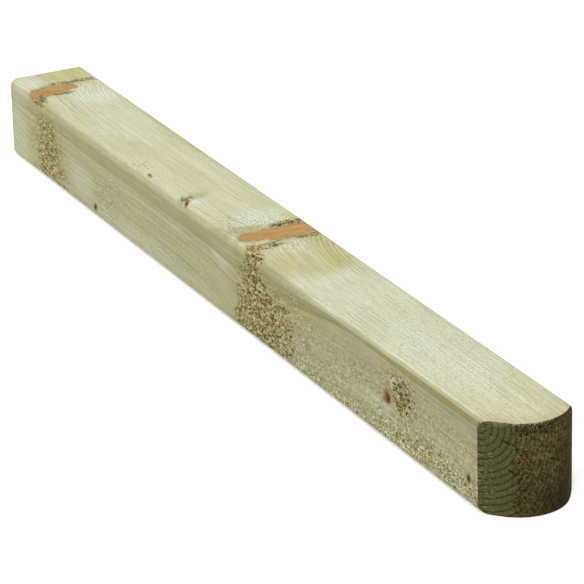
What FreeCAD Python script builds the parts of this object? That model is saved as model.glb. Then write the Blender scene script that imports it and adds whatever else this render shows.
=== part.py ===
"""A planed square timber post with rounded arrises, lying on one long face.

The post is one piece of sawn and planed softwood. One end, the foot, is cut
square. The other end, the head, is shaped to a round crown between two
straight flanks, as seen when the lying post is looked at from above.

Frame: X runs along the post towards the head, Y across it and Z up. The
origin is the middle of the face that the post lies on. Left and right are
those of someone who looks along the post to its head, so left is +Y. Sizes
are in millimetres and angles in degrees.
"""

import FreeCAD, Part
import math
import os
import Sketcher
from FreeCAD import Vector

# Each driving size: its alias in the sheet, its value and what it is.
DRIVING_SIZES = [
    ("post_length", 900.0, "from the foot to the top of the crown"),
    ("post_width", 75.0, "across the section, along Y"),
    ("post_depth", 75.0, "through the section, along Z"),
    ("arris_radius", 7.0, "rounding of the four long edges"),
    ("crown_radius", 37.5, "radius of the crown on the head"),
    ("flank_angle", 46.5, "how far each flank leans back from a square cut"),
    ("crown_offset", 3.4, "how far the crown sits off the post's centre line"),
]

START, END, CENTRE = 1, 2, 3  # the points of a sketch line or arc
SKETCH_X_AXIS, SKETCH_ORIGIN = -1, (-1, 1)
ALONG_THE_POST = 0.999  # least X of a unit direction that runs along the post
CUBIC_MM_PER_LITRE = 1e6


def make_sheet(doc):
    """The spreadsheet of driving sizes, one row and one alias for each."""
    sheet = doc.addObject("Spreadsheet::Sheet", "Sizes")
    for row, (alias, value, meaning) in enumerate(DRIVING_SIZES, start=1):
        sheet.set(f"A{row}", alias)
        sheet.set(f"B{row}", str(value))
        sheet.set(f"C{row}", meaning)
        sheet.setAlias(f"B{row}", alias)
    doc.recompute()
    return sheet


def new_sketch(body, name, plane_role):
    """An empty sketch on the body's own origin plane of that role."""
    plane = next(f for f in body.Origin.OriginFeatures if f.Role == plane_role)
    sketch = body.newObject("Sketcher::SketchObject", name)
    sketch.AttachmentSupport = [(plane, "")]
    sketch.MapMode = "FlatFace"
    return sketch


def add_lines(sketch, points):
    """A chain of line segments through the points, joined end to start."""
    vectors = [Vector(*point, 0) for point in points]
    lines = [
        sketch.addGeometry(Part.LineSegment(first, second), False)
        for first, second in zip(vectors, vectors[1:])
    ]
    for line, following in zip(lines, lines[1:]):
        constrain(sketch, "Coincident", line, END, following, START)
    return lines


def constrain(sketch, *terms):
    """Adds one constraint and returns its number."""
    return sketch.addConstraint(Sketcher.Constraint(*terms))


def dimension(sketch, name, expression, *terms):
    """Adds a named dimension whose value follows an expression on the sheet."""
    number = constrain(sketch, *terms)
    sketch.renameConstraint(number, name)
    sketch.setExpression(f"Constraints.{name}", expression)


def draw_section(body, sheet):
    """The square section, centred across the post and standing on Z = 0."""
    half_width, depth = sheet.post_width / 2, sheet.post_depth
    sketch = new_sketch(body, "Section", "YZ_Plane")
    lower_right, lower_left = (-half_width, 0), (half_width, 0)
    upper_left, upper_right = (half_width, depth), (-half_width, depth)
    base, left, top, right = add_lines(
        sketch, [lower_right, lower_left, upper_left, upper_right, lower_right]
    )
    constrain(sketch, "Coincident", right, END, base, START)
    for level_line in (base, top):
        constrain(sketch, "Horizontal", level_line)
    for upright_line in (left, right):
        constrain(sketch, "Vertical", upright_line)
    constrain(sketch, "Symmetric", base, START, base, END, *SKETCH_ORIGIN)
    dimension(
        sketch, "Across", "Sizes.post_width",
        "DistanceX", base, START, base, END, 2 * half_width,
    )
    dimension(
        sketch, "Through", "Sizes.post_depth",
        "DistanceY", left, START, left, END, depth,
    )
    return sketch


def draw_head_waste(body, sheet):
    """The outline of what is cut off the head, in plan.

    Its inner side is the crown with a flank on each side, and its outer side
    is a plain box that reaches a crown radius past the post all round.
    """
    radius, lean = sheet.crown_radius, math.radians(sheet.flank_angle)
    centre_x = sheet.post_length / 2 - radius
    centre_y = sheet.crown_offset
    outer_x = sheet.post_length / 2 + radius
    outer_y = sheet.post_width / 2 + radius

    def flank_points(side):
        """Where the flank on that side leaves the crown, and where it ends."""
        crown_x = centre_x + radius * math.cos(lean)
        crown_y = centre_y + side * radius * math.sin(lean)
        setback = (outer_y - side * crown_y) * math.tan(lean)
        return (crown_x, crown_y), (crown_x - setback, side * outer_y)

    sketch = new_sketch(body, "HeadWaste", "XY_Plane")
    crown = sketch.addGeometry(
        Part.ArcOfCircle(
            Part.Circle(Vector(centre_x, centre_y, 0), Vector(0, 0, 1), radius),
            -lean,
            lean,
        ),
        False,
    )
    right_start, right_end = flank_points(-1)
    left_start, left_end = flank_points(1)
    right_flank, right_side, front, left_side, left_flank = add_lines(
        sketch,
        [
            right_start,
            right_end,
            (outer_x, -outer_y),
            (outer_x, outer_y),
            left_end,
            left_start,
        ],
    )
    constrain(sketch, "Tangent", crown, START, right_flank, START)
    constrain(sketch, "Tangent", crown, END, left_flank, END)
    for line_along_post in (right_side, left_side):
        constrain(sketch, "Horizontal", line_along_post)
    constrain(sketch, "Symmetric", front, START, front, END, SKETCH_X_AXIS)
    dimension(
        sketch, "CrownRadius", "Sizes.crown_radius", "Radius", crown, radius
    )
    dimension(
        sketch, "CrownCentreAlong", "Sizes.post_length / 2 - Sizes.crown_radius",
        "DistanceX", *SKETCH_ORIGIN, crown, CENTRE, centre_x,
    )
    dimension(
        sketch, "CrownCentreAcross", "Sizes.crown_offset",
        "DistanceY", *SKETCH_ORIGIN, crown, CENTRE, centre_y,
    )
    dimension(
        sketch, "RightLean", "-(90 + Sizes.flank_angle) * 1 deg",
        "Angle", right_flank, -(math.pi / 2 + lean),
    )
    dimension(
        sketch, "LeftLean", "-(90 - Sizes.flank_angle) * 1 deg",
        "Angle", left_flank, -(math.pi / 2 - lean),
    )
    dimension(
        sketch, "FrontAlong", "Sizes.post_length / 2 + Sizes.crown_radius",
        "DistanceX", *SKETCH_ORIGIN, front, START, outer_x,
    )
    dimension(
        sketch, "FrontAcross", "Sizes.post_width + 2 * Sizes.crown_radius",
        "DistanceY", front, START, front, END, 2 * outer_y,
    )
    return sketch


def long_edges(feature):
    """Names of the feature's straight edges that run along the post."""
    names = []
    for number, edge in enumerate(feature.Shape.Edges, start=1):
        direction = edge.tangentAt(edge.FirstParameter)
        if abs(direction.x) > ALONG_THE_POST:
            names.append(f"Edge{number}")
    return names


def make_post(doc, sheet):
    """The post: a square bar, its arrises rounded, then its head shaped."""
    body = doc.addObject("PartDesign::Body", "Post")
    body.Label = "post"

    bar = body.newObject("PartDesign::Pad", "Bar")
    bar.Profile = draw_section(body, sheet)
    bar.SideType = "Symmetric"
    bar.setExpression("Length", "Sizes.post_length")
    doc.recompute()

    arrises = body.newObject("PartDesign::Fillet", "Arrises")
    arrises.Base = (bar, long_edges(bar))
    arrises.setExpression("Radius", "Sizes.arris_radius")
    doc.recompute()

    head = body.newObject("PartDesign::Pocket", "Head")
    head.Profile = draw_head_waste(body, sheet)
    head.Type = "ThroughAll"
    head.Reversed = True
    body.Tip = head
    doc.recompute()
    return body


def check(doc, body):
    """Stops the build if a feature failed or the head was not cut."""
    for item in doc.Objects:
        if "Invalid" in item.State or "Error" in item.State:
            raise RuntimeError(f"{item.Label} failed: {item.State}")
    if body.Shape.isNull() or not body.Shape.isValid() or len(body.Shape.Solids) != 1:
        raise RuntimeError(f"{body.Label} is not one valid solid")
    if body.Shape.Volume >= doc.getObject("Arrises").Shape.Volume:
        raise RuntimeError("the head's waste was not cut away")


def main():
    doc = FreeCAD.newDocument("TimberPost")
    sheet = make_sheet(doc)
    post = make_post(doc, sheet)
    check(doc, post)
    os.makedirs("parts", exist_ok=True)
    post.Shape.exportStep(f"parts/{post.Label}.step")
    size = post.Shape.BoundBox
    litres = post.Shape.Volume / CUBIC_MM_PER_LITRE
    print(
        f"{post.Label}: {size.XLength:.2f} x {size.YLength:.2f} x"
        f" {size.ZLength:.2f} mm, {litres:.4f} litres"
    )


main()
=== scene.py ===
"""A lying timber post: planed, pressure-treated softwood with a rounded head.

The post is one piece of wood, so its looks come from one description of how the
tree grew: where the pith runs, how far apart the growth rings are, and where
branches and torn grain are. The mesh takes its relief from that description and
the materials take their colours from it, so a ring or a knot that leaves one
face goes on round the corner.

The wood is described in millimetres in the frame of the CAD part: X along the
post to its head, Y across it and Z up, from the middle of the underside.
"""

import math
from collections import namedtuple

import bpy
import numpy as np
from mathutils import Matrix, Vector, noise


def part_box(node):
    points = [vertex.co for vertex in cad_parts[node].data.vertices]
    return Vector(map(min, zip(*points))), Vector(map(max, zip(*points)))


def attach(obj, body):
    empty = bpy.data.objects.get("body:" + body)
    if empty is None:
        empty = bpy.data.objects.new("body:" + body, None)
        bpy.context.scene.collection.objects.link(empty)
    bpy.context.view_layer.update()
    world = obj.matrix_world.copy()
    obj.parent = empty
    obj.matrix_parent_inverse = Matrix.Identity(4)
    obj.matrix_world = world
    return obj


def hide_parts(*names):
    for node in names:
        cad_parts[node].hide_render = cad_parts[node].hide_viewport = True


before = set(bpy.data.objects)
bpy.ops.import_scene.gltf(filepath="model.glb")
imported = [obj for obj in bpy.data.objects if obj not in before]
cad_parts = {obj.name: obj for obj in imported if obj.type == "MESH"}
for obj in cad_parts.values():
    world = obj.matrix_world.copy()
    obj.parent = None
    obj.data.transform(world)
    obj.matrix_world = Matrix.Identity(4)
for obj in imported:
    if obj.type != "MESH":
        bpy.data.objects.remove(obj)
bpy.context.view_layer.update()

bl_info = {
    "name": "Timber Post",
    "version": (1, 0, 0),
    "blender": (4, 5, 0),
    "location": "3D View > Sidebar > Timber Post",
    "description": "Builds a treated softwood post and a plain studio stage for it",
    "category": "Add Mesh",
}

MM = 0.001  # metres in a millimetre
LOW, HIGH = (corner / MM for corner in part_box("post"))
FOOT_X, HEAD_X = LOW.x, HIGH.x
HALF_WIDTH = (HIGH.y - LOW.y) / 2
DEPTH = HIGH.z
MID_HEIGHT = DEPTH / 2
MOST_TRIANGLES = 200_000

# ---------------------------------------------------------------------------
# How the tree grew. Every place is (x, y, z) in millimetres.
# ---------------------------------------------------------------------------

# A branch, cut lengthwise or across: the line it follows and its radius.
Branch = namedtuple("Branch", "start end radius")

# Long branches that the planer cut along their length, or large round ones.
LARGE_BRANCHES = (
    Branch((21, -22, 70), (22.5, 10, 76), 10),
    Branch((24, 0, 70), (27, 46, 77), 13.5),
    Branch((-399, -27, 75.5), (-400, -12, 72), 11),
    Branch((-400, -14, 72), (-402, 2, 70), 7.5),
    Branch((34, 10, 20), (38, 46, 16), 10),
    Branch((12, -2, 22), (8, 4, -9), 9),
    Branch((-388, 10, 40), (-384, 46, 38), 9),
    Branch((-410, -8, 18), (-412, -4, -9), 8),
)
# Pin knots: thin side shoots, cut across.
SMALL_BRANCHES = (
    Branch((-262, -30, 11), (-261, -44, 10), 3.2),
    Branch((287, -28, 39), (285, -46, 38.5), 5.4),
    Branch((411, -30, 23), (409, -44, 22.5), 3.6),
    Branch((-80, -30, 76), (-67, -40, 73), 1.8),
    Branch((-154, -31.5, 76), (-148, -33, 76), 1.8),
    Branch((215, 28, 52), (216, 46, 54), 3.8),
    Branch((-170, 28, 20), (-170, 46, 18), 3),
    Branch((178, -12, 8), (178, -13, -6), 3.4),
    Branch((-236, 14, 8), (-237, 16, -6), 2.6),
)
# Bark and torn fibre in thin dark lines beside the branches.
BARK_LINES = (
    Branch((5, 36, 75), (8, 4, 75), 1.5),
    Branch((38, 32, 75), (40, 12, 75), 1.5),
    Branch((38, 0, 75), (42, -14, 75), 1.2),
    Branch((46, -4, 75), (38, -32, 75), 1.2),
    Branch((-410, 30, 75), (-416, 4, 75), 1.4),
    Branch((-387, -6, 75), (-389, -17, 75), 1.8),
    Branch((-394, -29, 75), (-380, -37, 73), 2.0),
    Branch((-32, -17, 75), (-24, -16, 75), 0.5),
    Branch((-21, -16.5, 75), (-9, -13, 75), 0.5),
    Branch((-17, -22, 75), (-15, -22, 75), 0.6),
    Branch((-9, -26, 75), (-7, -27, 75), 0.6),
    Branch((-87, -23, 75), (-82, -33, 75), 1.3),
    Branch((343, -34, 75), (345, -35, 75), 1.0),
    Branch((292, -38, 41), (302, -38, 43), 1.4),
    Branch((405, -38, 42), (407, -38, 42), 0.9),
    Branch((24, 38, 27), (52, 38, 30), 1.2),
)

# A whorl of branches pushes the rings outwards along a stretch of the post.
Whorl = namedtuple("Whorl", "along reach push")
WHORLS = (Whorl(24, 46, 0.34), Whorl(-400, 30, 0.2), Whorl(290, 12, 0.03))

# A patch where the planer tore the grain: an ellipsoid and how bad it is.
Patch = namedtuple("Patch", "centre half_size strength")
TORN_PATCHES = (
    Patch((58, -38, 32), (38, 17, 48), 1.0),
    Patch((92, -38, 26), (52, 14, 42), 0.6),
    Patch((36, -38, 12), (20, 12, 22), 0.55),
    Patch((45, -24, 75), (9, 23, 7), 0.7),
    Patch((56, -36, 74), (22, 9, 8), 0.95),
    Patch((6, 20, 76), (8, 24, 6), 0.85),
    Patch((41, 24, 76), (6, 15, 6), 0.7),
    Patch((-366, -38, 28), (38, 13, 46), 0.62),
    Patch((-376, -38, 53), (22, 10, 14), 0.5),
    Patch((-342, -38, 12), (26, 10, 18), 0.5),
    Patch((-415, 8, 76), (7, 38, 6), 0.8),
    Patch((-389, -10, 76), (6, 14, 6), 0.8),
    Patch((-384, -37, 74), (18, 9, 9), 0.95),
    Patch((310, -38, 47), (20, 10, 20), 0.8),
    Patch((-84, -32, 75), (8, 14, 6), 0.7),
    Patch((30, 38, 30), (50, 13, 42), 0.8),
    Patch((-385, 38, 36), (38, 12, 34), 0.7),
    Patch((30, 4, -1), (50, 34, 9), 0.7),
    Patch((-402, 0, -1), (38, 28, 9), 0.6),
)
# Stretches of the post where the mesh is fine enough for torn grain.
FINE_STRETCHES = ((-418, -328), (-2, 126), (294, 328))

# Where the cut surface is only roughened, with raised and broken fibres.
FUZZY_PATCHES = (
    Patch((350, -38, 4), (150, 14, 36), 1.0),
    Patch((200, -38, 2), (130, 14, 20), 0.8),
    Patch((300, -38, 24), (240, 12, 50), 0.34),
    Patch((130, -38, 30), (60, 12, 50), 0.4),
    Patch((308, -38, 48), (36, 12, 26), 0.8),
    Patch((-230, -38, 30), (40, 12, 34), 0.3),
    Patch((-366, -38, 30), (60, 13, 52), 0.35),
    Patch((310, 0, 76), (200, 44, 10), 0.12),
    Patch((-18, -12, 76), (20, 24, 6), 0.3),
    Patch((-180, -26, 76), (16, 12, 6), 0.4),
    Patch((20, 0, 76), (60, 60, 8), 0.3),
    Patch((-400, 0, 76), (36, 60, 8), 0.3),
    Patch((-130, -38, 30), (160, 10, 44), 0.1),
    Patch((-140, 38, 30), (170, 12, 44), 0.5),
    Patch((330, 38, 40), (130, 12, 40), 0.6),
    Patch((190, 0, -1), (190, 36, 9), 0.6),
)

# Pale, bluish blotches that the preservative left, and yellow-green ones.
PALE_BLOTCHES = (
    Patch((-372, 12, 75), (40, 28, 12), 0.9),
    Patch((-15, 2, 75), (26, 30, 12), 1.0),
    Patch((175, -4, 75), (90, 50, 14), 0.5),
    Patch((305, -2, 75), (120, 42, 14), 0.85),
    Patch((-428, -26, 75), (22, 16, 12), 0.7),
    Patch((-74, -24, 75), (8, 14, 8), 0.9),
    Patch((-280, 4, 75), (70, 36, 12), 0.35),
    Patch((0, -38, 58), (30, 12, 18), 0.6),
    Patch((262, -38, 27), (52, 8, 10), 0.6),
    Patch((292, -38, 25), (12, 8, 15), 0.5),
    Patch((-290, -38, 26), (34, 8, 20), 0.5),
    Patch((-150, -38, 12), (160, 8, 12), 0.4),
    Patch((-430, -38, 64), (24, 8, 12), 0.6),
    Patch((-434, -38, 26), (28, 8, 40), 0.4),
    Patch((150, 38, 50), (110, 14, 24), 0.6),
    Patch((-260, 38, 22), (90, 14, 18), 0.6),
    Patch((-150, 10, 0), (120, 30, 10), 0.7),
)
YELLOW_BLOTCHES = (
    Patch((-436, 18, 75), (28, 42, 16), 0.85),
    Patch((94, -2, 75), (38, 50, 14), 0.85),
    Patch((62, 26, 75), (46, 20, 12), 0.6),
    Patch((-228, -20, 75), (50, 16, 10), 0.5),
    Patch((-376, -37, 44), (60, 12, 46), 0.8),
    Patch((-250, 34, 75), (170, 7, 12), 0.6),
    Patch((125, -38, 57), (90, 10, 16), 0.9),
    Patch((-300, 38, 62), (140, 14, 18), 0.7),
    Patch((300, 24, 0), (120, 30, 12), 0.6),
)
# Dull grey-olive shade where the grain dives in beside a branch.
SHADED_BLOTCHES = (
    Patch((3, -20, 75), (10, 28, 10), 0.8),
    Patch((-3, -37, 70), (26, 8, 10), 0.6),
    Patch((-88, -20, 75), (9, 16, 8), 0.7),
    Patch((62, -38, 38), (66, 22, 60), 0.8),
    Patch((-368, -38, 36), (56, 18, 52), 0.45),
    Patch((310, -38, 46), (34, 10, 30), 0.5),
    Patch((44, -22, 75), (10, 28, 8), 0.7),
    Patch((-412, 14, 75), (10, 36, 8), 0.6),
    Patch((32, 38, 28), (50, 14, 36), 0.7),
)

# Drying checks in the two ends, from (y, z) to (y, z).
Check = namedtuple("Check", "start end half_width")
HEAD_CHECKS = (
    Check((-25, 61), (-18, 57), 0.4),
    Check((-12, 53.5), (-4, 50.3), 0.3),
    Check((8, 44), (16.5, 39.8), 0.45),
    Check((-21.5, 38), (-16.5, 34), 0.4),
)
FOOT_CHECKS = (
    Check((-30, 57), (-2, 44), 0.5),
    Check((8, 39), (26, 30), 0.4),
    Check((-26, 36), (-17, 14), 0.4),
)


# ---------------------------------------------------------------------------
# Arithmetic that works on arrays for the mesh and on wires for the materials
# ---------------------------------------------------------------------------


class Wire:
    """A socket of a node tree, on which arithmetic adds Math nodes."""

    def __init__(self, sheet, socket):
        self.sheet = sheet
        self.socket = socket

    def math(self, operation, *terms):
        return self.sheet.node("ShaderNodeMath", {"operation": operation}, terms)

    def __add__(self, other):
        return self.math("ADD", self, other)

    def __radd__(self, other):
        return self.math("ADD", other, self)

    def __sub__(self, other):
        return self.math("SUBTRACT", self, other)

    def __rsub__(self, other):
        return self.math("SUBTRACT", other, self)

    def __mul__(self, other):
        return self.math("MULTIPLY", self, other)

    def __rmul__(self, other):
        return self.math("MULTIPLY", other, self)

    def __truediv__(self, other):
        return self.math("DIVIDE", self, other)

    def __rtruediv__(self, other):
        return self.math("DIVIDE", other, self)

    def __pow__(self, other):
        return self.math("POWER", self, other)

    def __abs__(self):
        return self.math("ABSOLUTE", self)


def clamp(value):
    """The value held between 0 and 1."""
    if isinstance(value, Wire):
        return value.math("MAXIMUM", value.math("MINIMUM", value, 1.0), 0.0)
    return np.clip(value, 0.0, 1.0)


def least(first, second):
    if isinstance(first, Wire):
        return first.math("MINIMUM", first, second)
    return np.minimum(first, second)


def most(first, second):
    if isinstance(first, Wire):
        return first.math("MAXIMUM", first, second)
    return np.maximum(first, second)


def fraction(value):
    if isinstance(value, Wire):
        return value.math("FRACT", value)
    return value - np.floor(value)


def rise(value, low, high):
    """0 at low and 1 at high with an even rise between; it falls if low > high."""
    return clamp((value - low) / (high - low))


def ease(value, low, high):
    """The same as rise, but with a soft start and end."""
    share = rise(value, low, high)
    return share * share * (3.0 - 2.0 * share)


def length(*parts):
    return sum((part * part for part in parts[1:]), parts[0] * parts[0]) ** 0.5


# ---------------------------------------------------------------------------
# The wood: fields of the place (x, y, z)
# ---------------------------------------------------------------------------

PITH_Y = -36.0
PITH_Z_AT_FOOT, PITH_Z_AT_HEAD = 61.5, 69.5
RING_FLATTENING = 1.6  # rings are that much closer across the post than up it
# The share of a ring that its dark line takes up on an end and on a long face.
END_LATEWOOD, FACE_LATEWOOD = 0.42, 0.4
PITH_RISES_FROM, PITH_RISES_TO = 90, 230


def pith_height(x):
    """The pith lies near one arris, and nearer to it at the head."""
    climb = PITH_Z_AT_HEAD - PITH_Z_AT_FOOT
    return PITH_Z_AT_FOOT + climb * ease(x, PITH_RISES_FROM, PITH_RISES_TO)


def ring_squeeze(x):
    """How far out a ring is pushed at x: its radius there is divided by this."""
    squeeze = 1.0
    for whorl in WHORLS:
        offset = (x - whorl.along) / whorl.reach
        squeeze = squeeze - whorl.push / (1.0 + offset * offset)
    return squeeze


def grain_place(x, y, z):
    """The place across the stem, measured from the pith, with whorls undone."""
    squeeze = ring_squeeze(x)
    across = (y - PITH_Y) * RING_FLATTENING * squeeze
    return across, (z - pith_height(x)) * squeeze


def branch_distance(branch, x, y, z):
    """Distance from the branch's line, over its radius."""
    start = Vector(branch.start)
    run = Vector(branch.end) - start
    dx, dy, dz = x - start.x, y - start.y, z - start.z
    share = clamp((dx * run.x + dy * run.y + dz * run.z) / run.length_squared)
    distance = length(dx - share * run.x, dy - share * run.y, dz - share * run.z)
    return distance / branch.radius


def nearest_branch(branches, x, y, z):
    nearest = branch_distance(branches[0], x, y, z)
    for branch in branches[1:]:
        nearest = least(nearest, branch_distance(branch, x, y, z))
    return nearest


def inside(centre, half_size, x, y, z):
    """1 in the middle of an ellipsoid, falling to 0 at its skin."""
    offsets = [(v - c) / h for v, c, h in zip((x, y, z), centre, half_size)]
    return ease(length(*offsets), 1.0, 0.4)


def patch_cover(patches, x, y, z):
    """The strongest cover of the patches at a place."""
    cover = 0.0
    for patch in patches:
        here = patch.strength * inside(patch.centre, patch.half_size, x, y, z)
        cover = most(here, cover)
    return cover


def check_distance(check, y, z):
    """Distance from a drying check's line, over its half width."""
    run_y, run_z = (b - a for a, b in zip(check.start, check.end))
    dy, dz = y - check.start[0], z - check.start[1]
    share = clamp((dy * run_y + dz * run_z) / (run_y**2 + run_z**2))
    return length(dy - share * run_y, dz - share * run_z) / check.half_width


# ---------------------------------------------------------------------------
# Sizes and colours
# ---------------------------------------------------------------------------


def distance(name, description, millimetres):
    return bpy.props.FloatProperty(
        name=name,
        description=description,
        default=millimetres * MM,
        min=0.0,
        subtype="DISTANCE",
        unit="LENGTH",
    )


def colour(name, description, red, green, blue):
    return bpy.props.FloatVectorProperty(
        name=name,
        description=description,
        default=(red, green, blue),
        min=0.0,
        max=1.0,
        size=3,
        subtype="COLOR",
    )


def angle(name, description, degrees):
    return bpy.props.FloatProperty(
        name=name,
        description=description,
        default=math.radians(degrees),
        subtype="ANGLE",
        unit="ROTATION",
    )


class TimberSizes(bpy.types.PropertyGroup):
    """Sizes of the post's surface."""

    arris_radius: distance("Arris Radius", "Rounding of the four long edges", 7)
    crown_radius: distance("Crown Radius", "Radius of the crown on the head", 37.5)
    crown_offset: distance("Crown Offset", "Crown's distance off the middle", 3.4)
    flank_angle: angle("Flank Angle", "Lean of the head's straight flanks", 46.5)
    edge_wear: distance("Edge Wear", "Width of the worn edge round each end", 0.5)
    ring_spacing: distance("Ring Spacing", "Width of a growth ring", 5.2)
    ring_ridge: distance("Ring Ridge", "How far latewood stands proud", 0.12)
    torn_depth: distance("Torn Depth", "Depth of the deepest torn grain", 1.5)
    end_roughness: distance("End Roughness", "Depth of the saw's tearing", 0.7)
    coarse_step: distance("Coarse Step", "Mesh step along plain stretches", 4)
    fine_step: distance("Fine Step", "Mesh step along torn stretches", 0.9)


class TimberColours(bpy.types.PropertyGroup):
    """Colours of the wood."""

    cream: colour("Cream", "Pale earlywood", 0.71, 0.695, 0.48)
    green: colour("Green", "Yellow-green tint of the treatment", 0.63, 0.63, 0.38)
    pale: colour("Pale", "Bluish blotches of dried salts", 0.75, 0.79, 0.64)
    yellow: colour("Yellow", "Olive-yellow blotches", 0.56, 0.53, 0.21)
    heart: colour("Heart", "Stripe where the pith runs close below", 0.46, 0.43, 0.18)
    latewood: colour("Latewood", "Dark line of each ring", 0.42, 0.37, 0.19)
    side_tone: colour("Side Tone", "Warm tone of the sides", 0.59, 0.555, 0.29)
    side_green: colour("Side Green", "Cool tone of the sides", 0.525, 0.53, 0.295)
    side_stain: colour("Stain", "Brownish tint at rims and pin knots", 0.52, 0.41, 0.22)
    knot: colour("Knot", "Sound branch wood", 0.58, 0.35, 0.13)
    knot_pale: colour("Pale Knot", "Lighter branch wood", 0.66, 0.50, 0.24)
    knot_red: colour("Red Knot", "Redder branch wood", 0.52, 0.26, 0.075)
    knot_dark: colour("Dark Knot", "Rings and rim of a branch", 0.22, 0.12, 0.05)
    # Partly painted shade: this colour darkens the hollows of torn grain and the gaps among
    # raised fibres, and is also the real dark of bark and of pin knot cores.
    torn_dark_and_shade: colour("Torn Dark", "Bottom of torn grain", 0.070, 0.050, 0.015)
    torn_mid: colour("Torn Middle", "Bruised wood of torn grain", 0.37, 0.31, 0.10)
    # Partly painted highlight: broken fibre ends, paler than the wood and painted brighter
    # still as if lit.
    torn_light_and_highlight: colour("Torn Light", "Broken fibre ends", 0.80, 0.71, 0.34)
    # Painted highlight: the bright colour of raised fibres where they catch the light.
    fibre_highlight: colour("Fibre", "Raised fibres that catch the light", 0.92, 0.88, 0.58)
    end_green: colour("End Green", "End grain, smooth part", 0.098, 0.098, 0.034)
    end_brown: colour("End Brown", "End grain, torn part", 0.108, 0.082, 0.021)
    end_red: colour("End Red", "End grain, reddish part", 0.120, 0.065, 0.018)
    end_light: colour("End Light", "End grain's light lines", 0.22, 0.21, 0.10)
    # Partly painted shade: the dark rings of the end grain, and also the shade painted into
    # its pits, its torn upper edge and its drying checks.
    end_dark_and_shade: colour("End Dark", "Rings and pits of the end grain", 0.016, 0.014, 0.006)


class StageSettings(bpy.types.PropertyGroup):
    """The floor, the light and the camera."""

    floor_size: distance("Floor Size", "Side of the floor", 12000)
    floor_tone: colour("Floor Tone", "Colour of the floor", 0.80, 0.80, 0.79)
    sky_tone: colour("Sky Tone", "Colour of the soft light all round", 1.0, 1.0, 1.0)
    sky_strength: bpy.props.FloatProperty(
        name="Sky Strength",
        description="Strength of the soft light all round",
        default=0.42,
        min=0.0,
    )
    key_strength: bpy.props.FloatProperty(
        name="Key Strength",
        description="Strength of the large lamp",
        default=1.95,
        min=0.0,
    )
    key_spread: angle("Key Spread", "How large the lamp looks", 22)
    camera_azimuth: angle("Azimuth", "Camera's turn from the post's axis", -26.23)
    camera_elevation: angle("Elevation", "Camera's height above level", 22.43)
    camera_roll: angle("Roll", "Camera's tilt about its line of sight", -1.53)
    camera_distance: distance("Distance", "From the camera to what it aims at", 2856.4)
    lens: bpy.props.FloatProperty(
        name="Lens",
        description="Focal length of the camera",
        default=213.0,
        min=1.0,
        unit="CAMERA",
    )


# ---------------------------------------------------------------------------
# The post's mesh
# ---------------------------------------------------------------------------

STEPS_ACROSS = {"right": 60, "top": 46, "left": 30, "under": 30}
STEPS_ROUND_ARRIS = 6
HEAD_STRETCH = 34  # length of the stretch that takes up the head's shape
END_STEPS = 30  # rings of faces from the edge of an end to its middle
SEED = Vector((11.3, 47.9, 83.1))


def section_outline(arris_radius):
    """Points round the section with their outward normals, as (y, z) arrays."""
    half_flat = HALF_WIDTH - arris_radius
    points, normals = [], []
    # Each side: the direction to walk along it, and the one it faces.
    sides = (
        ("right", (0, 1), (-1, 0)),
        ("top", (1, 0), (0, 1)),
        ("left", (0, -1), (1, 0)),
        ("under", (-1, 0), (0, -1)),
    )
    for name, walk, facing in sides:
        walk, facing = np.array(walk, float), np.array(facing, float)
        for share in np.arange(STEPS_ACROSS[name]) / STEPS_ACROSS[name]:
            offset = half_flat * (2 * share - 1)
            points.append(facing * HALF_WIDTH + walk * offset)
            normals.append(facing)
        centre = (facing + walk) * half_flat
        for turn in np.arange(STEPS_ROUND_ARRIS) / STEPS_ROUND_ARRIS * math.pi / 2:
            normal = facing * math.cos(turn) + walk * math.sin(turn)
            points.append(centre + normal * arris_radius)
            normals.append(normal)
    points = np.array(points) + (0, MID_HEIGHT)
    return points, np.array(normals)


def head_outline(y, sizes):
    """Where the head ends, along X, at each distance across the post."""
    radius = sizes.crown_radius / MM
    lean = sizes.flank_angle
    across = np.abs(y - sizes.crown_offset / MM)
    crown_half = radius * math.sin(lean)
    on_crown = radius - np.sqrt(np.maximum(radius**2 - across**2, 0))
    on_flank = radius * (1 - math.cos(lean)) + (across - crown_half) * math.tan(lean)
    return HEAD_X - np.where(across < crown_half, on_crown, on_flank)


def stations(sizes):
    """Places along the post up to its head, close together where grain is torn."""
    fine, coarse = sizes.fine_step / MM, sizes.coarse_step / MM
    stop = HEAD_X - 2 * HEAD_STRETCH
    places = [FOOT_X + sizes.edge_wear / MM]
    while places[-1] < stop:
        here = places[-1]
        is_fine = any(low <= here < high for low, high in FINE_STRETCHES)
        places.append(here + (fine if is_fine else coarse))
    return np.array(places)


def noise_at(places, stretch, octaves=2):
    """Smooth noise from about -1 to 1 at each place, its grains as long as stretch."""
    scaled = places / np.array(stretch)
    return np.array(
        [noise.fractal(Vector(p) + SEED, 1.0, 2.0, octaves) for p in scaled]
    )


def torn_chips(places, cover):
    """Depth of torn grain from 0 to 1: tilted chips that end in a step."""
    depth = np.zeros(len(places))
    for index in np.flatnonzero(cover > 0.02):
        x, y, z = places[index]
        spot = Vector((x / 3.2, y / 2.1, z / 2.1)) + SEED
        spot += 0.35 * noise.noise_vector(spot * 0.7)
        centre = noise.voronoi(spot)[1][0]
        luck = noise.cell(centre * 19.7)
        slope = min(max(0.5 + 0.8 * (spot.x - centre.x), 0), 1)
        depth[index] = 0.55 * luck + 0.45 * slope
    return depth


def ring_share(x, y, z, spacing):
    """How far through its growth ring a place is, from 0 to 1."""
    across, up = grain_place(x, y, z)
    return fraction(length(across, up) / spacing)


def latewood(share, width):
    """The dark line of a ring: a slow rise over its width and an abrupt end."""
    return ease(share, 1.0 - width, 0.93) * rise(share, 1.0, 0.95)


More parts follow.
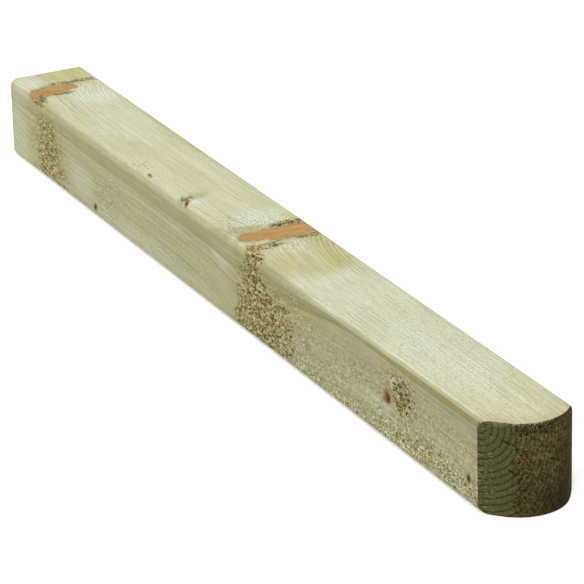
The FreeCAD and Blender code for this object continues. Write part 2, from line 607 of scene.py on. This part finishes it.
def long_face_relief(places, sizes):
    """Depth of the long faces' relief, and the fields that their looks go by."""
    x, y, z = places.T
    ragged = 0.3 * noise_at(places, (9, 4, 4))
    torn = patch_cover(TORN_PATCHES, x, y, z)
    torn = clamp(torn * (1 + 2.2 * ragged) + 0.25 * ragged * (torn > 0))
    chips = torn_chips(places, torn)
    branch = nearest_branch(LARGE_BRANCHES, x, y, z)
    torn = torn * ease(branch, 0.86, 1.0)
    rim = ease(abs(branch - 1.02), 0.09, 0.0)
    dish = 0.12 * (1 + noise_at(places, (140, 30, 30)))
    share = ring_share(x, y, z, sizes.ring_spacing / MM)
    ridge = 1 - latewood(share, FACE_LATEWOOD)
    depth = dish + sizes.ring_ridge / MM * ridge + 0.45 * rim
    depth = depth + sizes.torn_depth / MM * torn * (0.15 + 0.85 * chips)
    fields = {
        "torn": torn,
        "chips": chips,
        "fuzz": patch_cover(FUZZY_PATCHES, x, y, z) * ease(branch, 0.9, 1.1),
        "pale": patch_cover(PALE_BLOTCHES, x, y, z),
        "yellow": patch_cover(YELLOW_BLOTCHES, x, y, z),
        "shaded": patch_cover(SHADED_BLOTCHES, x, y, z),
    }
    return np.maximum(depth, 0), fields


def end_relief(places, sizes, checks):
    """Depth of an end's relief: ring ridges, torn fibres and drying checks."""
    x, y, z = places.T
    rough = ease(y, -20, -10)
    share = ring_share(x, y, z, sizes.ring_spacing / MM)
    tearing = 0.5 + 0.5 * noise_at(places * (0, 1, 1), (1, 2.1, 2.6), 3)
    depth = sizes.ring_ridge / MM * (1 - latewood(share, END_LATEWOOD))
    depth = depth + sizes.end_roughness / MM * rough * clamp(tearing)
    for check in checks:
        depth = depth + 0.7 * ease(check_distance(check, y, z), 2.0, 0.4)
    return depth


def end_rings(outline, wear):
    """Rings of points over an end, from its worn edge in to its middle."""
    first = 1 - wear / HALF_WIDTH
    middle = np.array((0, MID_HEIGHT))
    shares = first * (1 - np.arange(END_STEPS) / END_STEPS)
    return [middle + share * (outline - middle) for share in shares]


def place_end(outline, sizes, at_head):
    """The places over one end, as rings and then the middle, with its relief."""
    across_up = np.vstack([*end_rings(outline, sizes.edge_wear / MM), (0, MID_HEIGHT)])
    y, z = across_up.T
    face_x = head_outline(y, sizes) if at_head else np.full(len(y), FOOT_X)
    places = np.column_stack([face_x, y, z])
    checks = HEAD_CHECKS if at_head else FOOT_CHECKS
    depth = end_relief(places, sizes, checks)
    # The edge ring stays put, so that the end meets the long faces cleanly.
    depth[: len(outline)] = 0.05
    places[:, 0] += -depth if at_head else depth
    return places


def quads_between(first, second, flip):
    """Quads between two closed rings of vertex numbers."""
    around = np.stack(
        [first, np.roll(first, -1), np.roll(second, -1), second], axis=1
    )
    return around[:, ::-1] if flip else around


def post_mesh(sizes):
    """The post's whole surface as one closed mesh, with its wear as attributes."""
    outline, normals = section_outline(sizes.arris_radius / MM)
    count = len(outline)
    y, z = outline.T
    wear = sizes.edge_wear / MM

    straight = stations(sizes)
    rows = [np.column_stack([np.full(count, x), y, z]) for x in straight]
    head_end = head_outline(y, sizes) - wear
    head_steps = round(2 * HEAD_STRETCH / 2.2)
    for share in np.arange(1, head_steps + 1) / head_steps:
        x = straight[-1] + share * (head_end - straight[-1])
        rows.append(np.column_stack([x, y, z]))

    places = np.vstack(rows)
    depth, fields = long_face_relief(places, sizes)
    inward = np.tile(np.column_stack([np.zeros(count), -normals]), (len(rows), 1))
    places = places + inward * depth[:, None]
    long_count = len(places)

    head = place_end(outline, sizes, at_head=True)
    foot = place_end(outline, sizes, at_head=False)
    everything = np.vstack([places, head, foot])

    ring = np.arange(count)
    long_rings = [ring + row * count for row in range(len(rows))]
    quads = [quads_between(a, b, False) for a, b in zip(long_rings, long_rings[1:])]
    long_quads = sum(len(part) for part in quads)
    triangles = []
    for start, edge, flip in (
        (long_count, long_rings[-1], False),
        (long_count + len(head), long_rings[0], True),
    ):
        rings = [edge] + [ring + start + step * count for step in range(END_STEPS)]
        quads += [quads_between(a, b, flip) for a, b in zip(rings, rings[1:])]
        middle = start + END_STEPS * count
        for a, b in zip(rings[-1], np.roll(rings[-1], -1)):
            triangles.append((b, a, middle) if flip else (a, b, middle))
    faces = [tuple(face) for part in quads for face in part.tolist()] + triangles

    mesh = bpy.data.meshes.new("timber_post")
    mesh.from_pydata((everything * MM).tolist(), [], faces)
    mesh.polygons.foreach_set("use_smooth", [True] * len(faces))
    is_end = np.arange(len(faces)) >= long_quads
    mesh.polygons.foreach_set("material_index", is_end.astype(np.int32))
    for name, values in fields.items():
        attribute = mesh.attributes.new(name, "FLOAT", "POINT")
        padded = np.zeros(len(everything))
        padded[:long_count] = values
        attribute.data.foreach_set("value", padded)
    mesh.update()
    if mesh.validate():
        raise RuntimeError("the post's mesh has faults")
    triangle_count = 2 * sum(len(part) for part in quads) + len(triangles)
    if triangle_count > MOST_TRIANGLES:
        raise RuntimeError(f"the post has {triangle_count} triangles")
    print("timber_post triangles:", triangle_count)
    return mesh


# ---------------------------------------------------------------------------
# Materials
# ---------------------------------------------------------------------------


class Sheet:
    """A node tree being drawn up."""

    def __init__(self, tree):
        self.tree = tree
        tree.nodes.clear()

    def node(self, kind, settings=None, values=(), output=0):
        """Adds a node: its settings first, then values or wires for its sockets."""
        node = self.tree.nodes.new(kind)
        for name, setting in (settings or {}).items():
            setattr(node, name, setting)
        pairs = values.items() if isinstance(values, dict) else enumerate(values)
        for key, value in pairs:
            if isinstance(value, Wire):
                self.tree.links.new(value.socket, node.inputs[key])
            else:
                node.inputs[key].default_value = value
        return Wire(self, node.outputs[output]) if node.outputs else None

    def blend(self, first, second, share, how="MIX"):
        """A colour that is first where share is 0 and second where it is 1."""
        first, second = (
            value if isinstance(value, Wire) else (*value, 1.0)
            for value in (first, second)
        )
        settings = {"data_type": "RGBA", "blend_type": how}
        return self.node("ShaderNodeMix", settings, {0: share, 6: first, 7: second}, 2)

    def vector(self, x, y, z):
        return self.node("ShaderNodeCombineXYZ", None, (x, y, z))

    def noise(self, place, detail=2.0, roughness=0.5, distortion=0.0):
        """Noise from about 0.2 to 0.8, one grain to each unit of the place."""
        values = {
            "Vector": place,
            "Scale": 1.0,
            "Detail": detail,
            "Roughness": roughness,
            "Distortion": distortion,
        }
        return self.node("ShaderNodeTexNoise", None, values)

    def attribute(self, name):
        return self.node("ShaderNodeAttribute", {"attribute_name": name}, (), 2)

    def bump(self, height, distance_mm, normal=None):
        values = {"Strength": 1.0, "Distance": distance_mm * MM, "Height": height}
        if normal is not None:
            values["Normal"] = normal
        return self.node("ShaderNodeBump", None, values)

    def place_mm(self):
        """The place on the post, as wires for x, y and z in millimetres."""
        where = self.node("ShaderNodeTexCoord", None, (), 3)
        settings = {"operation": "SCALE"}
        scaled = self.node("ShaderNodeVectorMath", settings, {0: where, "Scale": 1 / MM})
        return tuple(
            self.node("ShaderNodeSeparateXYZ", None, (scaled,), axis)
            for axis in range(3)
        )

    def finish(self, **values):
        shader = self.node("ShaderNodeBsdfPrincipled", None, values)
        self.node("ShaderNodeOutputMaterial", None, (shader,))


def new_sheet(name):
    material = bpy.data.materials.new(name)
    material.use_nodes = True
    return material, Sheet(material.node_tree)


def grain_of_faces(s, colours, sizes, x, y, z):
    """Rings, fibres and the tints of the treatment, before any damage."""
    across, up = grain_place(x, y, z)
    # Slow wandering of the rings, so that no line is quite straight.
    wander = s.noise(s.vector(x / 160, across / 26, up / 26), 2.0) - 0.5
    radius = length(across, up) + 5 * wander
    late = latewood(fraction(radius / (sizes.ring_spacing / MM)), FACE_LATEWOOD)
    fibres = s.noise(s.vector(x / 20, across / 1.5, up / 1.1), 3.0, 0.65)
    lines = s.noise(s.vector(x / 260, across / 2.2, up / 1.6), 2.0, 0.6)
    streaks = s.noise(s.vector(x / 90, across / 6, up / 4.2), 2.0, 0.6)
    tint = s.noise(s.vector(x / 110, y / 17, z / 17), 2.0, 0.55)
    warm = s.noise(s.vector(x / 70, across / 9, up / 7), 2.0, 0.55)
    grain = s.noise(s.vector(x / 2.6, y / 1.6, z / 1.6), 2.0, 0.7)

    on_side = ease(y, -33, -37)
    under = ease(z, 6, 0)
    wood = s.blend(colours.cream, colours.green, rise(tint, 0.42, 0.66) * 0.75)
    side = s.blend(colours.side_tone, colours.side_green, rise(warm, 0.40, 0.62))
    wood = s.blend(wood, side, 0.9 * most(on_side, 0.7 * under))
    wood = s.blend(wood, colours.latewood, rise(warm, 0.56, 0.72) * 0.14)

    # Stains of the treatment, with edges that follow the fibres.
    drift = (tint - 0.5) * 1.8 + (streaks - 0.5) * 1.4
    pale = clamp(s.attribute("pale") * (1.0 + drift))
    yellow = clamp(s.attribute("yellow") * (1.0 + drift))
    shaded = clamp(s.attribute("shaded") * (1.0 + drift))
    wood = s.blend(wood, colours.pale, pale * 0.9)
    wood = s.blend(wood, colours.yellow, yellow * 0.85)
    wood = s.blend(wood, colours.heart, shaded * 0.85)

    # The stripe over the pith is olive, and narrow and brown towards the head.
    towards_head = ease(x, PITH_RISES_FROM, PITH_RISES_TO)
    reach = 6.9 - 4.1 * towards_head
    stem = length(across, up) + 3.2 * wander + 2.4 * (warm - 0.5)
    stripe = s.blend(colours.heart, colours.torn_mid, towards_head * 0.95)
    shown = 0.5 + 0.5 * most(towards_head, ease(up, 3.0, -4.0) * ease(x, -330, -230))
    heart = ease(stem / reach, 1.05, 0.75) * on_side * shown
    wood = s.blend(wood, stripe, heart * 0.85)
    crown_centre = HEAD_X - sizes.crown_radius / MM
    to_crown = length(x - crown_centre, y - sizes.crown_offset / MM)
    rim = ease(to_crown, 17, 38) * ease(x, crown_centre - 4, crown_centre + 10)
    wood = s.blend(wood, colours.side_stain, rim * (0.2 + 1.8 * (streaks - 0.38)))
    wood = s.blend(wood, colours.knot_dark, ease(x, 421.8, 423) * on_side * 0.55)

    # The rings show most where they bend round the branches.
    bent = inside((92, 22, 75), (70, 22, 12), x, y, z)
    strength = 0.08 + 0.32 * rise(streaks, 0.40, 0.66) + 0.06 * on_side + 0.4 * bent
    wood = s.blend(wood, colours.latewood, late * strength)
    tone = 1.0 + 0.5 * (fibres - 0.5) + 0.6 * (lines - 0.5) + 0.3 * (grain - 0.5)
    # The sides are darker by 7% from about x -330, and by 16% beyond x 130.
    side_darkening = 0.07 * ease(x, -420, -330) + 0.09 * ease(x, 30, 130)
    tone = tone * (1 - on_side * side_darkening)
    wood = s.blend(wood, s.vector(tone, tone, tone), 1.0, "MULTIPLY")
    flecks = rise(s.noise(s.vector(x / 5, across / 1.6, up / 1.1), 1.0), 0.66, 0.76)
    flecks = flecks * (0.5 + 0.3 * ease(x, 150, 250))
    wood = s.blend(wood, colours.latewood, flecks)
    relief = fibres * 0.8 + late * 0.4 - flecks * 0.6 + grain * 0.6
    return wood, relief


def damage_of_faces(s, colours, wood, x, y, z):
    """Raised fibres, torn grain and bark over the wood, with their painted highlights and
    shade, and their relief.
    """
    specks = s.noise(s.vector(x / 2.6, y / 1.6, z / 1.6), 2.0, 0.6, 0.3)
    grit = s.noise(s.vector(x / 2.9, y / 1.8, z / 1.8), 2.0, 0.6, 0.3)
    broad = s.noise(s.vector(x / 16, y / 9, z / 9), 2.0, 0.6)

    fuzz = clamp(s.attribute("fuzz") * rise(broad, 0.22, 0.5) * 1.15)
    # Painted highlight and shade: raised fibres are painted bright, and the gaps among them
    # dark.
    wood = s.blend(wood, colours.fibre_highlight, fuzz * rise(specks, 0.55, 0.62))
    wood = s.blend(wood, colours.torn_mid, fuzz * rise(specks, 0.49, 0.42))
    wood = s.blend(wood, colours.torn_dark_and_shade, fuzz * rise(specks, 0.42, 0.33) * 0.9)

    # Torn grain is dense in a patch's middle and breaks up into specks round it. Its
    # hollows are painted dark as shade, and its raised fibre ends bright as highlights.
    torn, chips = s.attribute("torn"), s.attribute("chips")
    bark = ease(nearest_branch(BARK_LINES, x, y, z) + (grit - 0.5) * 4.5, 1.5, 0.7)
    hollow = 0.46 + (grit - 0.5) * 6.0 + (chips - 0.5) * 0.8 + 0.45 * bark
    torn_with_light_and_shade = s.blend(colours.torn_light_and_highlight, colours.torn_mid, ease(hollow, -0.4, 0.14))
    # The far whorl tore less deeply, so less shade is painted into its hollows.
    deep = 0.5 + 0.5 * ease(x, -320, -200)
    torn_with_light_and_shade = s.blend(torn_with_light_and_shade, colours.torn_dark_and_shade, ease(hollow, 0.58, 0.95) * deep)
    cover = ease(torn * 0.95 + abs(grit - 0.5) * 2.0, 0.16, 0.85)
    cover = most(cover * rise(torn, 0.0, 0.2), bark * 0.85)
    wood = s.blend(wood, torn_with_light_and_shade, cover)
    relief = fuzz * specks * 3.0 - cover * hollow * 2.0
    return wood, relief, cover, fuzz


def branches_of_faces(s, colours, wood, x, y, z):
    """Branch wood, with streaks along it and a broken dark rim."""
    coarse = s.noise(s.vector(x / 8, y / 8, z / 8), 3.0, 0.6) - 0.5
    large = nearest_branch(LARGE_BRANCHES, x, y, z) + coarse * 0.6
    streaks = s.noise(s.vector(x / 1.5, y / 9, z / 5), 3.0, 0.65)
    mottle = s.noise(s.vector(x / 5, y / 16, z / 6), 3.0, 0.65)
    branch = s.blend(colours.knot, colours.knot_red, rise(mottle, 0.42, 0.64))
    branch = s.blend(branch, colours.knot_pale, rise(mottle, 0.44, 0.30) * 0.25)
    branch = s.blend(branch, colours.knot_dark, rise(streaks, 0.54, 0.76) * 0.5)
    branch = s.blend(branch, colours.knot_dark, ease(large, 0.8, 1.0) * 0.3)
    broken = rise(streaks, 0.38, 0.6)
    wood = s.blend(wood, colours.heart, ease(large, 1.6, 1.0) * 0.65)
    wood = s.blend(wood, colours.torn_dark_and_shade, ease(large, 1.2, 1.02) * broken * 0.6)
    wood = s.blend(wood, branch, ease(large, 1.04, 0.9))

    return wood, streaks * ease(large, 1.03, 0.93) * 1.2


def pin_knots(s, colours, wood, x, y, z):
    """Thin side shoots, cut across, each with a stained ring of wood about it."""
    ragged = s.noise(s.vector(x / 5, y / 4, z / 4), 3.0, 0.6) - 0.5
    small = nearest_branch(SMALL_BRANCHES, x, y, z) + ragged * 1.9
    wood = s.blend(wood, colours.side_stain, ease(small, 2.0, 1.0) * 0.7)
    pin = s.blend(colours.knot_red, colours.knot_dark, 0.55)
    pin = s.blend(colours.torn_dark_and_shade, pin, ease(small, 0.3, 0.8))
    return s.blend(wood, pin, ease(small, 1.3, 0.85))


def planed_wood(colours, sizes):
    """The long faces: rings and fibres, stains, torn and fuzzy grain, branches."""
    material, s = new_sheet("planed_softwood")
    x, y, z = s.place_mm()
    wood, fine = grain_of_faces(s, colours, sizes, x, y, z)
    wood, knotty = branches_of_faces(s, colours, wood, x, y, z)
    wood, broken, cover, fuzz = damage_of_faces(s, colours, wood, x, y, z)
    wood = pin_knots(s, colours, wood, x, y, z)
    normal = s.bump(fine + knotty + broken, 0.25)
    gloss = 0.66 + 0.16 * cover + 0.10 * fuzz
    s.finish(
        **{
            "Base Color": wood,
            "Roughness": gloss,
            "Specular IOR Level": 0.3,
            "Normal": normal,
        }
    )
    return material


def end_grain(colours, sizes):
    """The ends: dark rings, torn to brown fuzz beyond the first third."""
    material, s = new_sheet("end_grain")
    x, y, z = s.place_mm()
    across, up = grain_place(x, y, z)
    wander = s.noise(s.vector(x / 99, y / 14, z / 14), 2.0) - 0.5
    radius = length(across, up) + 2.2 * wander
    share = fraction(radius / (sizes.ring_spacing / MM))
    late = latewood(share, END_LATEWOOD)
    turn = s.node("ShaderNodeMath", {"operation": "ARCTAN2"}, (up, across))

    edge = (s.noise(s.vector(x / 99, y / 4, z / 7), 2.0) - 0.5) * 12
    rough = ease(y + edge, -20, -15)
    patches = s.noise(s.vector(x / 99, y / 16, z / 16), 2.0)
    rays = s.noise(s.vector(turn * 30, radius / 6, x / 99), 3.0, 0.7)
    pits = s.noise(s.vector(x / 3, y / 1.8, z / 1.9), 2.0, 0.65, 0.3)
    grit = s.noise(s.vector(x / 3, y / 1.1, z / 1.6), 2.0, 0.6)
    sawn = s.noise(s.vector(x / 3, y / 4, z / 1.2), 2.0, 0.6)

    smooth_end = s.blend(colours.end_green, colours.end_dark_and_shade, late * 0.7)
    smooth_end = s.blend(smooth_end, colours.end_dark_and_shade, rise(grit, 0.50, 0.66) * 0.35)
    smooth_end = s.blend(smooth_end, colours.end_light, rise(grit, 0.50, 0.36) * 0.2)
    slivers = rise(sawn, 0.57, 0.64) * ease(y, -26, -31)
    smooth_end = s.blend(smooth_end, colours.end_light, slivers)
    torn_end = s.blend(colours.end_brown, colours.end_green, rise(patches, 0.5, 0.66) * 0.7)
    torn_end = s.blend(torn_end, colours.end_red, rise(patches, 0.46, 0.34) * 0.4)
    torn_end = s.blend(torn_end, colours.end_dark_and_shade, late * 0.6)
    torn_end = s.blend(torn_end, colours.end_light, rise(rays, 0.50, 0.36) * 0.45)
    torn_end = s.blend(torn_end, colours.end_dark_and_shade, rise(rays, 0.52, 0.68) * 0.8)
    lit = 0.80 + 0.34 * ease(z, 24, 58) * ease(y, 30, 10)
    torn_end = s.blend(torn_end, s.vector(lit, lit, lit), 1.0, "MULTIPLY")
    wood = s.blend(smooth_end, torn_end, rough)

    # The saw broke out the fibres in pits, most along the upper edge; the pits and that
    # edge are darkened as painted shade.
    torn_edge = ease(z, 63, 69) * ease(y, -20, -12) * ease(y, 26, 6)
    seam = rough * ease(y, -6, -14) * 0.5
    pitting = clamp(0.08 + 0.62 * rough + seam + torn_edge)
    wood = s.blend(wood, colours.end_dark_and_shade, torn_edge * 0.55)
    wood = s.blend(wood, colours.end_dark_and_shade, rise(pits, 0.54, 0.60) * pitting)
    sparkle = rise(grit, 0.35, 0.27) * pitting * (0.4 + 0.35 * torn_edge)
    wood = s.blend(wood, colours.fibre_highlight, sparkle)
    # Fibres hang over the upper edge where the saw left the wood, painted as highlights.
    hanging = ease(z + (grit - 0.5) * 14, 74.2, 75.2) * ease(y, -24, -16)
    wood = s.blend(wood, colours.fibre_highlight, hanging * ease(y, 16, 4) * 0.4)
    scuff = inside((0, -27, 74), (999, 7, 5), x, y, z)
    wood = s.blend(wood, colours.end_light, scuff * 0.7)

    on_head = ease(x, -1, 1)
    checks = 0.0
    for here, lines in ((on_head, HEAD_CHECKS), (1 - on_head, FOOT_CHECKS)):
        for check in lines:
            ragged = check_distance(check, y, z) + (pits - 0.5) * 9.0
            checks = most(ease(ragged, 1.2, 0.5) * here, checks)
    # Painted shade: the drying checks are darkened, besides being cut into the mesh.
    wood = s.blend(wood, colours.end_dark_and_shade, checks)
    low = ease(z + 16 * wander, 36, 8) * ease(y, -12, 14)
    wood = s.blend(wood, colours.end_dark_and_shade, low * 0.55)
    wood = s.blend(wood, colours.end_red, ease(y + 30 * wander, 24, 34) * 0.5)

    relief = rays * rough - pits * (0.3 + 2.0 * rough) - late * 0.8 - checks * 1.5
    s.finish(
        **{
            "Base Color": wood,
            "Roughness": 0.6 + 0.2 * rough,
            "Specular IOR Level": 0.06,
            "Normal": s.bump(relief, 0.4),
        }
    )
    return material


# ---------------------------------------------------------------------------
# Operators
# ---------------------------------------------------------------------------


class TIMBER_OT_post(bpy.types.Operator):
    """Build the post and its wood"""

    bl_idname = "timber.post"
    bl_label = "Timber Post"

    def execute(self, context):
        sizes, colours = context.scene.timber_sizes, context.scene.timber_colours
        mesh = post_mesh(sizes)
        mesh.materials.append(planed_wood(colours, sizes))
        mesh.materials.append(end_grain(colours, sizes))
        post = bpy.data.objects.new("timber_post", mesh)
        context.scene.collection.objects.link(post)
        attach(post, "root")
        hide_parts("post")
        return {"FINISHED"}


def white_floor(tone):
    """A floor that looks white where no shadow falls on it."""
    material, s = new_sheet("white_floor")
    plain = s.node("ShaderNodeBsdfDiffuse", None, ((*tone, 1.0),))
    seen = s.node("ShaderNodeBsdfDiffuse", None, ((0.55, 0.55, 0.55, 1.0),))
    glow = s.node("ShaderNodeEmission", None, ((1.0, 1.0, 1.0, 1.0), 0.56))
    bright = s.node("ShaderNodeAddShader", None, (seen, glow))
    is_seen = s.node("ShaderNodeLightPath")
    shader = s.node("ShaderNodeMixShader", None, (is_seen, plain, bright))
    s.node("ShaderNodeOutputMaterial", None, (shader,))
    return material


def white_sky(world, tone, strength):
    """Soft light all round, which looks white to the camera."""
    world.use_nodes = True
    s = Sheet(world.node_tree)
    soft = s.node("ShaderNodeBackground", None, ((*tone, 1.0), strength))
    white = s.node("ShaderNodeBackground", None, ((1.0, 1.0, 1.0, 1.0), 1.0))
    is_seen = s.node("ShaderNodeLightPath")
    sky = s.node("ShaderNodeMixShader", None, (is_seen, soft, white))
    s.node("ShaderNodeOutputWorld", None, (sky,))


KEY_FROM = Vector((0.38, -0.30, 0.88))  # the way to the large lamp
AIM = Vector((17.8, 17.2, 17.3)) * MM  # what the camera aims at


class TIMBER_OT_stage(bpy.types.Operator):
    """Set up the floor, the light and the camera"""

    bl_idname = "timber.stage"
    bl_label = "Stage"

    def execute(self, context):
        stage = context.scene.timber_stage
        self.add_floor(context, stage)
        self.add_light(context, stage)
        self.add_camera(context, stage)
        context.scene.view_settings.view_transform = "Standard"
        return {"FINISHED"}

    def add_floor(self, context, stage):
        half = stage.floor_size / 2
        corners = [(-half, -half, 0), (half, -half, 0), (half, half, 0), (-half, half, 0)]
        mesh = bpy.data.meshes.new("floor")
        mesh.from_pydata(corners, [], [(0, 1, 2, 3)])
        mesh.materials.append(white_floor(stage.floor_tone))
        floor = bpy.data.objects.new("floor", mesh)
        context.scene.collection.objects.link(floor)

    def add_light(self, context, stage):
        world = context.scene.world or bpy.data.worlds.new("studio")
        context.scene.world = world
        white_sky(world, stage.sky_tone, stage.sky_strength)
        lamp = bpy.data.lights.new("key_light", "SUN")
        lamp.energy = stage.key_strength
        lamp.angle = stage.key_spread
        key = bpy.data.objects.new("key_light", lamp)
        key.rotation_euler = KEY_FROM.to_track_quat("Z", "Y").to_euler()
        context.scene.collection.objects.link(key)

    def add_camera(self, context, stage):
        turn, height, roll = (
            stage.camera_azimuth,
            stage.camera_elevation,
            stage.camera_roll,
        )
        back = Vector(
            (
                math.cos(height) * math.cos(turn),
                math.cos(height) * math.sin(turn),
                math.sin(height),
            )
        )
        level = Vector((-math.sin(turn), math.cos(turn), 0))
        upright = back.cross(level)
        right = math.cos(roll) * level + math.sin(roll) * upright
        up = back.cross(right)
        lens = bpy.data.cameras.new("camera")
        lens.lens = stage.lens
        lens.clip_end = 100
        camera = bpy.data.objects.new("camera", lens)
        facing = Matrix((right, up, back)).transposed().to_4x4()
        camera.matrix_world = Matrix.Translation(
            AIM + back * stage.camera_distance
        ) @ facing
        context.scene.collection.objects.link(camera)
        context.scene.camera = camera


class TIMBER_PT_panel(bpy.types.Panel):
    """The post and its stage, in the sidebar"""

    bl_label = "Timber Post"
    bl_idname = "TIMBER_PT_panel"
    bl_space_type = "VIEW_3D"
    bl_region_type = "UI"
    bl_category = "Timber Post"

    def draw(self, context):
        scene = context.scene
        for operator in OPERATORS:
            self.layout.operator(operator.bl_idname)
        for group in (scene.timber_sizes, scene.timber_colours, scene.timber_stage):
            box = self.layout.box()
            for name in group.bl_rna.properties.keys()[1:]:
                box.prop(group, name)


SETTINGS = {
    "timber_sizes": TimberSizes,
    "timber_colours": TimberColours,
    "timber_stage": StageSettings,
}
OPERATORS = (TIMBER_OT_post, TIMBER_OT_stage)
CLASSES = (*SETTINGS.values(), *OPERATORS, TIMBER_PT_panel)


def register():
    for cls in CLASSES:
        bpy.utils.register_class(cls)
    for name, group in SETTINGS.items():
        setattr(bpy.types.Scene, name, bpy.props.PointerProperty(type=group))


def unregister():
    for name in SETTINGS:
        delattr(bpy.types.Scene, name)
    for cls in reversed(CLASSES):
        bpy.utils.unregister_class(cls)


def main():
    register()
    bpy.ops.timber.post()
    bpy.ops.timber.stage()
    bpy.context.view_layer.update()


if __name__ == "__main__":
    main()
